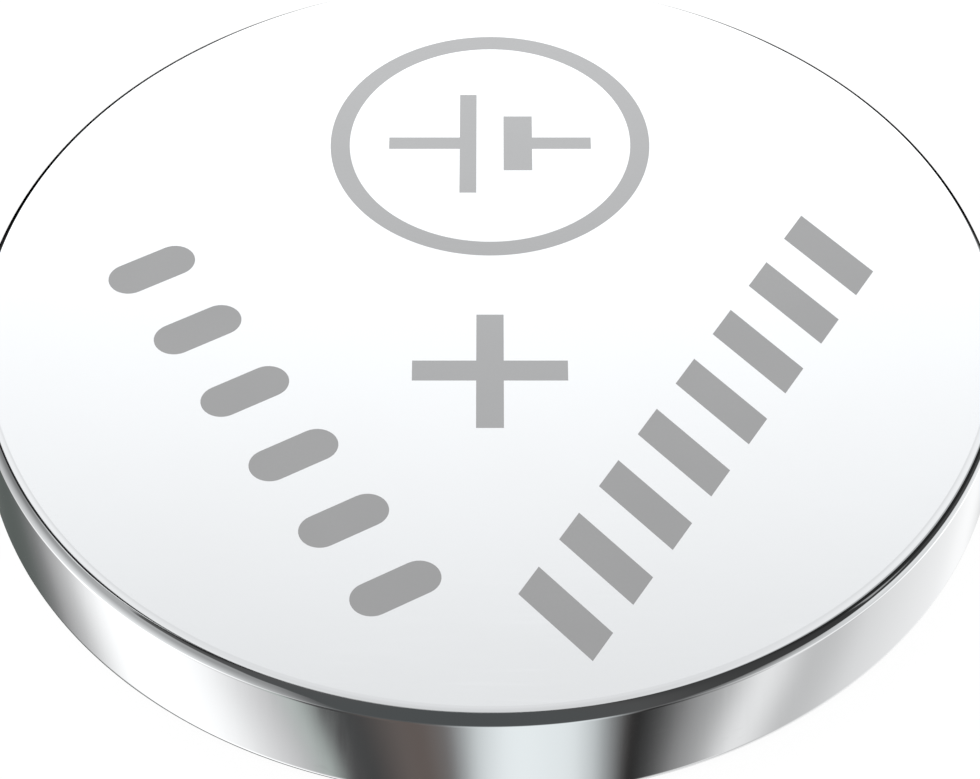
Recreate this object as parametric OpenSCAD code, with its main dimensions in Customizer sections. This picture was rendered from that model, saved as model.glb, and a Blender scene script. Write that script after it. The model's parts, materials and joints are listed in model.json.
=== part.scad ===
// Round lithium coin cell, 20 mm by 2.5 mm, lying on its negative terminal.
// Millimetres. The axis is Z, and the negative terminal's face is at z = 0.
// Every round piece is a half section turned about Z: x is the radius and y is the height.

/* [Cell] */
// Diameter over the can
cell_d = 20; // [19:0.5:25]
// Height over both terminals
cell_h = 2.5; // [2.3:0.1:5]

/* [Positive can] */
// Thickness of the can's sheet
can_sheet = 0.20; // [0.15:0.01:0.25]
// Inside radius of the drawn corner round the positive face
can_corner = 0.08; // [0.04:0.01:0.2]
// Inside radius of the bend from the wall into the crimped lip
lip_bend = 0.05; // [0.02:0.01:0.1]
// Reach of the crimped lip, in from the outside of the wall
lip_reach = 1.45; // [1.2:0.05:1.7]
// Slope of the crimped lip into the gasket, in degrees
lip_slope = 4; // [0:0.5:6]
// Step from the negative terminal's face back to the lip
lip_setback = 0.06; // [0.02:0.01:0.1]

/* [Negative cap] */
// Thickness of the cap's sheet
cap_sheet = 0.20; // [0.15:0.01:0.25]
// Inside radius of the cap's three bends
cap_bend = 0.10; // [0.05:0.01:0.12]
// Gap across the groove, from the lip's cut edge to the terminal's step
groove = 0.50; // [0.35:0.05:0.7]
// Height of the step, from the terminal's face to the shoulder that the gasket clamps
step_h = 0.50; // [0.46:0.02:0.6]

/* [Sealing gasket] */
// Thickness of the gasket between the can's wall and the cap's skirt
seal_wall = 0.40; // [0.3:0.05:0.6]
// Thickness of the gasket between the skirt's end and the can's floor
seal_web = 0.30; // [0.2:0.05:0.4]
// Thickness of the gasket's inner lip, inside the skirt
seal_lip = 0.30; // [0.2:0.05:0.4]
// Height of the gasket's inner lip, down from the can's floor
seal_lip_h = 0.80; // [0.5:0.05:1.2]
// Width of the bead that the crimp squeezes into the groove
seal_bead = 0.36; // [0.2:0.02:0.4]
// Radius on the bead's edge
bead_edge = 0.15; // [0.05:0.01:0.17]
// Step from the lip's cut edge back to the bead
bead_setback = 0.04; // [0.02:0.01:0.08]

/* [Separator] */
// Thickness of the separator's cloth
separator_sheet = 0.15; // [0.1:0.01:0.2]
// Free room between the separator's rim and the gasket, for swelling
separator_room = 0.40; // [0.2:0.05:0.6]
// Inside radius of the fold round the separator's floor
separator_fold = 0.10; // [0.05:0.01:0.2]
// Height of the separator cup
separator_h = 0.90; // [0.5:0.05:1]

/* [Cathode] */
// Thickness of the cathode ring's sheet
ring_sheet = 0.15; // [0.1:0.01:0.2]
// Inside radius of the cathode ring's bend
ring_bend = 0.05; // [0.02:0.01:0.08]
// Clearance between the cathode ring and the separator's rim
ring_clear = 0.10; // [0.05:0.01:0.2]
// Width of the cathode ring's flange on the can's floor
ring_flange = 0.85; // [0.6:0.05:1.2]
// Height of the cathode ring
ring_h = 1.10; // [0.7:0.05:1.2]
// Clearance between the cathode pellet and its ring
pellet_clear = 0.02; // [0.01:0.01:0.05]
// Radius on the pellet's edges
pellet_edge = 0.10; // [0.08:0.01:0.2]

/* [Collector mesh] */
// Thickness of the mesh
mesh_sheet = 0.10; // [0.08:0.01:0.14]
// Clearance between the mesh and the cathode ring's flange
mesh_clear = 0.10; // [0.05:0.01:0.2]
// Pitch of the diamonds along their long way
mesh_long = 2.40; // [2.4:0.1:4]
// Pitch of the diamonds along their short way
mesh_short = 1.30; // [1.3:0.1:2]
// Width of the mesh's strands
mesh_strand = 0.26; // [0.2:0.02:0.4]

/* [Lithium anode] */
// Thickness of the lithium disc
lithium_h = 0.50; // [0.3:0.02:0.6]
// Gap between the lithium disc and the cap's step
lithium_gap = 0.20; // [0.15:0.05:0.5]

/* [Hidden] */
$fn = 192;

// The can's inside, and the bend of its lip
wall_r = cell_d / 2 - can_sheet;
floor_z = cell_h - can_sheet;
bend_r = cell_d / 2 - can_sheet - lip_bend;
bend_z = lip_setback + can_sheet + lip_bend;
lip_r = cell_d / 2 - lip_reach;

// The cap's step, shoulder and skirt
step_r = lip_r - groove;
skirt_r = wall_r - seal_wall;
skirt_end_z = floor_z - seal_web;
shoulder_z = step_h + cap_sheet;

// The gasket's inner lip and bead
seal_r = skirt_r - cap_sheet - seal_lip;
bead_r = lip_r - seal_bead;

// The stack between the terminals: lithium, separator, pellet, mesh
lithium_r = step_r - cap_sheet - lithium_gap;
lithium_z = cap_sheet + lithium_h;
separator_r = seal_r - separator_room;
separator_z = max(shoulder_z, lithium_z);
pellet_z = separator_z + separator_sheet;
ring_r = separator_r - separator_sheet - ring_clear;
flange_r = ring_r - ring_flange;
flange_z = floor_z - ring_sheet;
pellet_r = ring_r - ring_sheet - pellet_clear;
mesh_r = flange_r - mesh_clear;
mesh_z = floor_z - mesh_sheet;

// Point at a distance and an angle from a centre
function polar(centre, r, angle) = centre + r * [cos(angle), sin(angle)];

// Solid half section from the axis out to r, between two heights, with rounded outer corners
module block(r, z0, z1, low = 0, high = 0) {
    translate([0, z0 + low])
        square([r, z1 - z0 - low - high]);
    if (low > 0) {
        translate([0, z0])
            square([r - low, z1 - z0 - high]);
        translate([r - low, z0 + low])
            circle(low);
    }
    if (high > 0) {
        translate([0, z0 + low])
            square([r - high, z1 - z0 - low]);
        translate([r - high, z1 - high])
            circle(high);
    }
}

// What a quarter circle leaves of a square corner at the origin
module waste(r) {
    difference() {
        square(r);
        translate([r, r])
            circle(r);
    }
}

// Half section of all that lies inside the can's skin, the skin taken in by an inset
module can_form(inset) {
    out_r = cell_d / 2 - inset;
    top_z = cell_h - inset;
    corner = can_corner + can_sheet - inset;
    bend = lip_bend + can_sheet - inset;
    centre = [bend_r, bend_z];
    tangent = polar(centre, bend, -90 - lip_slope);
    block(out_r, cell_h / 2, top_z, high = corner);
    translate(centre)
        circle(bend);
    // The wall, and the crimped lip's slope run on to the axis
    polygon([
        [0, tangent.y + tangent.x * tan(lip_slope)],
        tangent,
        centre,
        [out_r, bend_z],
        [out_r, top_z - corner],
        [0, top_z - corner]
    ]);
}

// Half section of all that lies inside the cap's skin, up to a height, the skin taken in by an inset
module cap_form(inset, top_z) {
    bend = cap_bend + cap_sheet - inset;
    fillet = cap_bend + inset;
    fillet_r = step_r + cap_bend;
    fillet_z = step_h - cap_bend;
    block(step_r - inset, inset, top_z, low = bend);
    block(skirt_r - inset, step_h + inset, top_z, low = bend);
    // The inner bend, from the step out onto the shoulder
    translate([fillet_r - fillet, fillet_z + fillet])
        mirror([0, 1])
            waste(fillet);
}

// Deep-drawn cup with its rim folded in over the seal
module positive_can() {
    color("#d6dbdc")
        rotate_extrude()
            difference() {
                can_form(0);
                can_form(can_sheet);
                square([lip_r, cell_h / 2]);
            }
}

// Stepped cap: terminal, step, shoulder and skirt
module negative_cap() {
    color("#c3c7c8")
        rotate_extrude()
            difference() {
                cap_form(0, skirt_end_z);
                cap_form(cap_sheet, cell_h);
            }
}

// J-section gasket, squeezed tight between can and cap, with a bead in the groove
module sealing_gasket() {
    lip_end_z = bend_z + (bend_r - lip_r) * tan(lip_slope) - (bend_z - lip_setback) / cos(lip_slope);
    bead_z = lip_end_z + bead_setback;
    color("#ece9dc")
        rotate_extrude() {
            // Foot and outer wall, then the bead
            difference() {
                union() {
                    intersection() {
                        can_form(can_sheet);
                        translate([lip_r, 0])
                            square([wall_r, floor_z]);
                    }
                    difference() {
                        translate([bead_r, bead_z])
                            square([seal_bead, step_h - bead_z]);
                        translate([bead_r, bead_z])
                            waste(bead_edge);
                    }
                }
                cap_form(0, cell_h);
            }
            // Web under the skirt's end, and inner lip
            difference() {
                block(wall_r, skirt_end_z, floor_z, high = can_corner);
                square([seal_r, cell_h]);
            }
            translate([seal_r, floor_z - seal_lip_h])
                square([seal_lip, seal_lip_h]);
        }
}

// Shallow cup of cloth on the lithium and the cap's shoulder
module separator() {
    color("#f4f4f0")
        rotate_extrude()
            difference() {
                block(separator_r, separator_z, separator_z + separator_h, low = separator_fold + separator_sheet);
                block(separator_r - separator_sheet, pellet_z, cell_h, low = separator_fold);
            }
}

// Lithium disc on the cap's inside
module lithium_anode() {
    color("#b9bcc4")
        translate([0, 0, cap_sheet])
            cylinder(h = lithium_h, r = lithium_r);
}

// Pressed tablet, stepped to sit in the ring's flange
module cathode_pellet() {
    color("#2b2b2d")
        rotate_extrude() {
            block(pellet_r, pellet_z, flange_z, low = pellet_edge, high = pellet_edge);
            block(flange_r - pellet_clear, pellet_z + pellet_edge, mesh_z);
        }
}

// L-section ring round the tablet's edge, its flange on the can's floor
module cathode_ring() {
    color("#a9adb0")
        rotate_extrude()
            difference() {
                block(ring_r, floor_z - ring_h, floor_z, high = ring_bend + ring_sheet);
                block(ring_r - ring_sheet, 0, flange_z, high = ring_bend);
                square([flange_r, cell_h]);
            }
}

// Disc of expanded mesh: one sheet with rows of diamond gaps inside a plain rim
module collector_mesh() {
    side = norm([mesh_long, mesh_short]) / 2;
    half_height = mesh_long * mesh_short / (4 * side);
    open = 1 - mesh_strand / (2 * half_height);
    gap_x = open * mesh_long / 2;
    gap_y = open * mesh_short / 2;
    columns = ceil(mesh_r / mesh_long);
    rows = ceil(2 * mesh_r / mesh_short);
    color("#8f9396")
        translate([0, 0, mesh_z])
            linear_extrude(mesh_sheet)
                difference() {
                    circle(mesh_r);
                    for (row = [-rows:rows], column = [-columns:columns]) {
                        x = (column + (row % 2 == 0 ? 0 : 0.5)) * mesh_long;
                        y = row * mesh_short / 2;
                        reach = max(norm([abs(x) + gap_x, y]), norm([x, abs(y) + gap_y]));
                        if (reach < mesh_r - mesh_strand)
                            translate([x, y])
                                polygon([[gap_x, 0], [0, gap_y], [-gap_x, 0], [0, -gap_y]]);
                    }
                }
}

positive_can();
negative_cap();
sealing_gasket();
separator();
lithium_anode();
cathode_pellet();
cathode_ring();
collector_mesh();
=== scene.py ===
"""Looks of a round lithium coin cell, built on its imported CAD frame.

Lengths are in metres, and the cell's axis is Z, with the plus face on top. The camera looks along +Y.
An azimuth here is counted from the camera's side, -Y, and grows to the right, towards +X.
"""

import json
import logging
import math
from dataclasses import dataclass, field
from enum import Enum
from typing import Iterator, Sequence

import bpy
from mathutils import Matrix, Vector
from mathutils.geometry import delaunay_2d_cdt

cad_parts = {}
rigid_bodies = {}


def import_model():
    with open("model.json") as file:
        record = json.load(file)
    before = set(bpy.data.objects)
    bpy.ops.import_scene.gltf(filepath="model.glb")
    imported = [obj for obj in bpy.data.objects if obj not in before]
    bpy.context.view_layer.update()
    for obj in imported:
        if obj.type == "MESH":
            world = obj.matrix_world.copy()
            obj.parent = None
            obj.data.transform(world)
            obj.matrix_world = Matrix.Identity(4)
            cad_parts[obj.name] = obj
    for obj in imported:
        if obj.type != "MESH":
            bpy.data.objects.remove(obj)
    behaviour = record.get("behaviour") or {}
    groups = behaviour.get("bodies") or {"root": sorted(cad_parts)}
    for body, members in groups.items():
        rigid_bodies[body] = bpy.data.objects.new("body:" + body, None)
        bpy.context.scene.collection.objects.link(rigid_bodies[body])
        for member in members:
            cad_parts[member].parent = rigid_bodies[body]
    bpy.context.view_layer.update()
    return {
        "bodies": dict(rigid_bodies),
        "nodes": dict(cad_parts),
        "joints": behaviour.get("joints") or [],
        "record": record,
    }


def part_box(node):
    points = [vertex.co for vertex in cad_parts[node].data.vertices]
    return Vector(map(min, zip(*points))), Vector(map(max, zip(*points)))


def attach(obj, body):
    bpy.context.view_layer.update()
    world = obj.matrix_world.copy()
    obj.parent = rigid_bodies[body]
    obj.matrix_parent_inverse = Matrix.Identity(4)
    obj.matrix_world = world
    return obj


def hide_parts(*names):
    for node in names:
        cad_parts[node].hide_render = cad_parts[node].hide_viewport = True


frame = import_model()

MM = 0.001
BODY = "root"

# Pieces round the axis, the fineness at which points fall together, and the gap at which runs touch
ROUND_STEPS = 360
PARTS_PER_METRE = 1e8
TOUCHING = 1e-9

log = logging.getLogger("coin_cell")

Point = tuple[float, float]
Span = tuple[float, float]
Colour = tuple[float, float, float]
Value = float | Sequence[float] | bpy.types.NodeSocket


def grey(level: float) -> Colour:
    """Return a neutral colour of that linear level."""
    return (level, level, level)


def polar(centre: Point, radius: float, degrees: float) -> Point:
    """Return the point at a distance and an angle from a centre."""
    turn = math.radians(degrees)
    return (centre[0] + radius * math.cos(turn), centre[1] + radius * math.sin(turn))


# Meshes


@dataclass(frozen=True)
class Run:
    """One stretch of a half section: its points, and the surface's outward direction at each."""

    points: list[Point]
    normals: list[Point]


def line(start: Point, end: Point) -> Run:
    """Make a straight run.

    Args:
        start: Radius and height of its first point.
        end: Radius and height of its last point.

    Returns:
        The run, with the metal on its left.
    """
    across, up = end[0] - start[0], end[1] - start[1]
    length = math.hypot(across, up)
    normal = (up / length, -across / length)
    return Run([start, end], [normal, normal])


def arc(centre: Point, radius: float, start: float, end: float, steps: int = 12) -> Run:
    """Make a round run.

    Args:
        centre: Radius and height of the arc's centre.
        radius: The arc's own radius.
        start: Angle of its first point, in degrees.
        end: Angle of its last point, in degrees.
        steps: Number of pieces that it is divided into.

    Returns:
        The run, with the metal on its left.
    """
    side = 1 if end > start else -1
    angles = [start + (end - start) * step / steps for step in range(steps + 1)]
    points = [polar(centre, radius, angle) for angle in angles]
    return Run(points, [polar((0, 0), side, angle) for angle in angles])


def joined(runs: Sequence[Run | Point]) -> list[Run]:
    """Join arcs and corner points with straight runs.

    Args:
        runs: Arcs, and the corner points between them, in order round the section.

    Returns:
        The runs in order, each starting where the last one ends.
    """
    chain: list[Run] = []
    last: Point | None = None
    for item in runs:
        first = item.points[0] if isinstance(item, Run) else item
        if last is not None and math.dist(last, first) > TOUCHING:
            chain.append(line(last, first))
        if isinstance(item, Run):
            chain.append(item)
        last = item.points[-1] if isinstance(item, Run) else item
    return chain


class Draft:
    """A mesh in the making, whose faces carry their own exact normals."""

    def __init__(self) -> None:
        """Start empty."""
        self.points: list[tuple[float, float, float]] = []
        self.faces: list[list[int]] = []
        self.normals: list[tuple[float, float, float]] = []
        self.known: dict[tuple[int, int, int], int] = {}

    def point(self, x: float, y: float, z: float) -> int:
        """Find the point at a place, which is added once.

        Args:
            x: Its place to the right.
            y: Its place away from the camera.
            z: Its height.

        Returns:
            The point's number.
        """
        key = (round(x * PARTS_PER_METRE), round(y * PARTS_PER_METRE), round(z * PARTS_PER_METRE))
        if key not in self.known:
            self.known[key] = len(self.points)
            self.points.append((x, y, z))
        return self.known[key]

    def face(self, corners: Sequence[int], normals: Sequence[Sequence[float]]) -> None:
        """Add a face.

        Args:
            corners: Numbers of its points. Points that fall together count once.
            normals: The surface's direction at each corner.
        """
        kept = [i for i, corner in enumerate(corners) if corner != corners[i - 1]]
        if len(kept) < 3:
            return
        self.faces.append([corners[i] for i in kept])
        self.normals.extend(tuple(normals[i]) for i in kept)

    def turn(self, runs: Sequence[Run]) -> None:
        """Turn a half section about the axis.

        Args:
            runs: The section's runs, with the metal on their left.
        """
        spokes = [polar((0, 0), 1, 360 * step / ROUND_STEPS) for step in range(ROUND_STEPS)]
        order = ((0, 0), (1, 0), (1, 1), (0, 1))
        for run in runs:
            for i in range(len(run.points) - 1):
                ends = (run.points[i], run.points[i + 1])
                ways = (run.normals[i], run.normals[i + 1])
                for pair in zip(spokes, spokes[1:] + spokes[:1]):
                    corners = [
                        self.point(ends[e][0] * pair[s][0], ends[e][0] * pair[s][1], ends[e][1])
                        for s, e in order
                    ]
                    normals = [
                        (ways[e][0] * pair[s][0], ways[e][0] * pair[s][1], ways[e][1])
                        for s, e in order
                    ]
                    self.face(corners, normals)

    def sheet(self, triangles: Sequence[Sequence[Point]], z: float, up: int) -> None:
        """Add flat triangles.

        Args:
            triangles: Corners of each, counterclockwise as seen from above.
            z: Their height.
            up: 1 for triangles that face up, -1 for triangles that face down.
        """
        for triangle in triangles:
            corners = [self.point(x, y, z) for x, y in triangle][::up]
            self.face(corners, [(0, 0, up)] * 3)

    def skirt(self, edges: Sequence[tuple[Point, Point]], low: float, high: float) -> None:
        """Add upright faces under a sheet's edges.

        Args:
            edges: Each edge's ends, with the face's back on its left.
            low: Height of their lower end.
            high: Height of their upper end.
        """
        for start, end in edges:
            length = math.dist(start, end)
            out = ((end[1] - start[1]) / length, (start[0] - end[0]) / length, 0)
            corners = [
                self.point(*start, low),
                self.point(*end, low),
                self.point(*end, high),
                self.point(*start, high),
            ]
            self.face(corners, [out] * 4)

    def piece(self, name: str) -> bpy.types.Object:
        """Make the object.

        Args:
            name: The piece's name.

        Returns:
            The new object, which rides on the cell's one body.
        """
        mesh = bpy.data.meshes.new(name)
        mesh.from_pydata(self.points, [], self.faces)
        mesh.polygons.foreach_set("use_smooth", [True] * len(mesh.polygons))
        mesh.normals_split_custom_set(self.normals)
        made = bpy.data.objects.new(name, mesh)
        bpy.context.scene.collection.objects.link(made)
        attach(made, BODY)
        log.info("%s: %d faces", name, len(self.faces))
        return made


# Printed marks


def circle_outline(centre: Point, radius: float, steps: int = 144) -> list[Point]:
    """Return the points of a circle."""
    return [polar(centre, radius, 360 * step / steps) for step in range(steps)]


@dataclass(frozen=True)
class Mark:
    """A printed mark: closed outlines on the face, each filled, or a hole in the one round it."""

    name: str
    outlines: list[list[Point]]

    def covers(self, spot: Point) -> bool:
        """Tell whether a spot on the face is printed: inside an odd number of the outlines.

        Args:
            spot: The spot.

        Returns:
            True where it is printed.
        """
        crossings = 0
        for outline in self.outlines:
            for (x0, y0), (x1, y1) in zip(outline, outline[1:] + outline[:1]):
                if (y0 > spot[1]) != (y1 > spot[1]):
                    crossings += spot[0] < x0 + (x1 - x0) * (spot[1] - y0) / (y1 - y0)
        return crossings % 2 == 1


@dataclass(frozen=True)
class Row:
    """A straight row of like bars, set across a slanted line."""

    angle: float
    start: float
    end: float
    low: float
    high: float
    count: int
    width: float

    def place(self, along: float, across: float) -> Point:
        """Find a place on the face from its place in the row.

        Args:
            along: How far it is along the row's line.
            across: How far it is across it.

        Returns:
            The place on the face.
        """
        turn = math.radians(self.angle)
        return (
            along * math.cos(turn) - across * math.sin(turn),
            along * math.sin(turn) + across * math.cos(turn),
        )

    def starts(self, reach: float) -> Iterator[float]:
        """Find where the bars start.

        Args:
            reach: How far a bar reaches along the row.

        Yields:
            Each bar's start.
        """
        pitch = (self.end - self.start - reach) / (self.count - 1)
        for number in range(self.count):
            yield self.start + number * pitch

    def leaning(self, lean: float) -> list[list[Point]]:
        """Make the bars with square ends, leaning along the row.

        Args:
            lean: How far a bar's upper end stands ahead of its lower end.

        Returns:
            One outline a bar.
        """
        bars = []
        for left in self.starts(self.width + lean):
            corners = [(left, self.low), (left + self.width, self.low)]
            corners += [(left + self.width + lean, self.high), (left + lean, self.high)]
            bars.append([self.place(*corner) for corner in corners])
        return bars

    def rounded(self, steps: int = 16) -> list[list[Point]]:
        """Make the bars upright, with round ends.

        Args:
            steps: Number of pieces in each round end.

        Returns:
            One outline a bar.
        """
        radius = self.width / 2
        bars = []
        for left in self.starts(self.width):
            ends = ((self.low + radius, 180), (self.high - radius, 0))
            outline = [
                polar((left + radius, across), radius, first + 180 * step / steps)
                for across, first in ends
                for step in range(steps + 1)
            ]
            bars.append([self.place(*point) for point in outline])
        return bars


@dataclass(frozen=True)
class Print:
    """What is printed on the plus face: a plus sign, a cell symbol in a ring, and two rows of bars."""

    plus_y: float = -1.5 * MM
    plus_reach: float = 1.5 * MM
    plus_bar: float = 0.53 * MM
    ring_y: float = 4.87 * MM
    ring_outer: float = 3.24 * MM
    ring_inner: float = 2.85 * MM
    symbol_line: float = 0.34 * MM
    symbol_thick: float = 0.58 * MM
    symbol_reach: float = 2.05 * MM
    long_plate: float = 1.45 * MM
    short_plate: float = 0.80 * MM
    plate_gap: float = 0.55 * MM
    pills: Row = Row(-59, -4.9 * MM, 5.5 * MM, -5.98 * MM, -4.16 * MM, 6, 0.82 * MM)
    slants: Row = Row(60, -6.6 * MM, 5.5 * MM, -5.94 * MM, -4.0 * MM, 8, 0.76 * MM)
    slant_lean: float = 0.7 * MM
    film: float = 0.005 * MM

    def plus(self) -> list[Point]:
        """Outline the plus sign.

        Returns:
            The outline.
        """
        half, reach = self.plus_bar / 2, self.plus_reach
        arm = [(half, half), (half, reach), (-half, reach)]
        corners = []
        for quarter in range(4):
            turn = math.radians(90 * quarter)
            corners += [
                (x * math.cos(turn) - y * math.sin(turn), x * math.sin(turn) + y * math.cos(turn))
                for x, y in arm
            ]
        return [(x, y + self.plus_y) for x, y in corners]

    def plate(self, side: int, height: float, width: float) -> list[Point]:
        """Outline one plate of the cell symbol with its lead.

        Args:
            side: 1 for the right plate, -1 for the left one.
            height: Half the plate's height.
            width: The plate's thickness.

        Returns:
            The outline, lead and plate in one.
        """
        near, half = self.plate_gap / 2, self.symbol_line / 2
        far = near + width
        half_outline = [(near, height), (far, height), (far, half), (self.symbol_reach, half)]
        mirrored = [(x, -y) for x, y in reversed(half_outline)]
        return [(side * x, y + self.ring_y) for x, y in half_outline + mirrored]

    def marks(self) -> list[Mark]:
        """Gather the marks on the face.

        Returns:
            Every mark, each with its outlines.
        """
        ring = [
            circle_outline((0, self.ring_y), self.ring_outer),
            circle_outline((0, self.ring_y), self.ring_inner),
        ]
        symbol = [
            self.plate(-1, self.long_plate, self.symbol_line),
            self.plate(1, self.short_plate, self.symbol_thick),
        ]
        return [
            Mark("plus_mark", [self.plus()]),
            Mark("ring_mark", ring),
            Mark("cell_symbol", symbol),
            Mark("rounded_bars", self.pills.rounded()),
            Mark("leaning_bars", self.slants.leaning(self.slant_lean)),
        ]


class Face:
    """The flat round face, cut into triangles along the marks' outlines.

    It is cut in millimetres. The kind of cut keeps what lies inside the outlines.
    """

    INSIDE_ONLY = 1
    SAME_POINT = 1e-6

    def __init__(self, radius: float, marks: Sequence[Mark]) -> None:
        """Cut the face.

        Args:
            radius: Radius of the flat.
            marks: The marks that lie on it.
        """
        outlines = [circle_outline((0, 0), radius, ROUND_STEPS)]
        for mark in marks:
            outlines += mark.outlines
        points, faces = [], []
        for outline in outlines:
            first = len(points)
            points += [Vector((x / MM, y / MM)) for x, y in outline]
            faces.append(list(range(first, len(points))))
        cut = delaunay_2d_cdt(points, [], faces, self.INSIDE_ONLY, self.SAME_POINT)
        spots, triangles = cut[0], cut[2]
        self.parts: dict[str | None, list[list[Point]]] = {mark.name: [] for mark in marks}
        self.parts[None] = []
        for triangle in triangles:
            corners = [(spots[i].x * MM, spots[i].y * MM) for i in triangle]
            middle = (sum(x for x, _ in corners) / 3, sum(y for _, y in corners) / 3)
            owners = [mark.name for mark in marks if mark.covers(middle)]
            self.parts[owners[0] if owners else None].append(corners)

    def edges(self, name: str) -> list[tuple[Point, Point]]:
        """Find the outer edges of a mark.

        Args:
            name: The mark's name.

        Returns:
            Each edge's ends, with the mark on its left.
        """
        sides = set()
        for triangle in self.parts[name]:
            for i in range(3):
                sides.add((triangle[i - 1], triangle[i]))
        return [side for side in sides if (side[1], side[0]) not in sides]


# Shader nodes


class Graph:
    """A node tree, with short ways of adding nodes and joining them."""

    def __init__(self, tree: bpy.types.NodeTree) -> None:
        """Start on a tree, and empty it."""
        self.tree = tree
        tree.nodes.clear()

    def node(
        self, kind: str, inputs: dict[str | int, Value] | None = None, **settings: object
    ) -> bpy.types.Node:
        """Add a node.

        Args:
            kind: Its type, without the word ShaderNode.
            inputs: Values or sockets for its inputs, by name or number.
            settings: Its other settings.

        Returns:
            The new node.
        """
        made = self.tree.nodes.new("ShaderNode" + kind)
        for name, value in settings.items():
            setattr(made, name, value)
        for name, value in (inputs or {}).items():
            if isinstance(value, bpy.types.NodeSocket):
                self.tree.links.new(value, made.inputs[name])
            else:
                made.inputs[name].default_value = value
        return made

    def math(self, operation: str, *values: Value, clamp: bool = False) -> bpy.types.NodeSocket:
        """Return the result of a sum on numbers."""
        return self.node("Math", dict(enumerate(values)), operation=operation, use_clamp=clamp).outputs[0]

    def ease(self, value: Value, low: float, high: float) -> bpy.types.NodeSocket:
        """Return a smooth step from 0 at low to 1 at high."""
        inputs = {"Value": value, "From Min": low, "From Max": high}
        return self.node("MapRange", inputs, interpolation_type="SMOOTHSTEP").outputs[0]

    def scale(
        self, value: Value, low: float, high: float, start: float = 0, end: float = 1
    ) -> bpy.types.NodeSocket:
        """Return a number from start to end, stretched to run from low to high."""
        inputs = {"Value": value, "From Min": start, "From Max": end, "To Min": low, "To Max": high}
        return self.node("MapRange", inputs).outputs[0]

    def blend(self, factor: Value, first: Value, second: Value) -> bpy.types.NodeSocket:
        """Return a mix of two colours."""
        pair = {0: factor, 6: self.colour(first), 7: self.colour(second)}
        return self.node("Mix", pair, data_type="RGBA").outputs[2]

    def blend_number(self, factor: Value, first: Value, second: Value) -> bpy.types.NodeSocket:
        """Return a mix of two numbers."""
        return self.node("Mix", {0: factor, 2: first, 3: second}).outputs[0]

    def colour(self, value: Value) -> Value:
        """Return a colour with its fourth number, or the socket as it is."""
        return value if isinstance(value, bpy.types.NodeSocket) else (*value, 1)

    def ramp(
        self, value: Value, stops: Sequence[tuple[float, Colour]], way: str
    ) -> bpy.types.NodeSocket:
        """Return the colour that a ramp holds at a value.

        Args:
            value: The place on the ramp.
            stops: Places from 0 to 1, each with its colour.
            way: How the ramp runs between its stops.

        Returns:
            The ramp's colour.
        """
        made = self.node("ValToRGB", {"Fac": value})
        band = made.color_ramp
        band.interpolation = way
        band.elements[0].position = stops[0][0]
        band.elements[1].position = stops[-1][0]
        for place, _ in stops[1:-1]:
            band.elements.new(place)
        for element, (_, colour) in zip(band.elements, stops):
            element.color = (*colour, 1)
        return made.outputs[0]


class Effect(Enum):
    """The node groups that the finishes share."""

    ZONES = "cell_zones"
    GRAIN = "rolled_grain"
    LINES = "drawn_lines"
    SCUFFS = "fine_scuffs"
    HAZE = "soft_haze"


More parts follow.
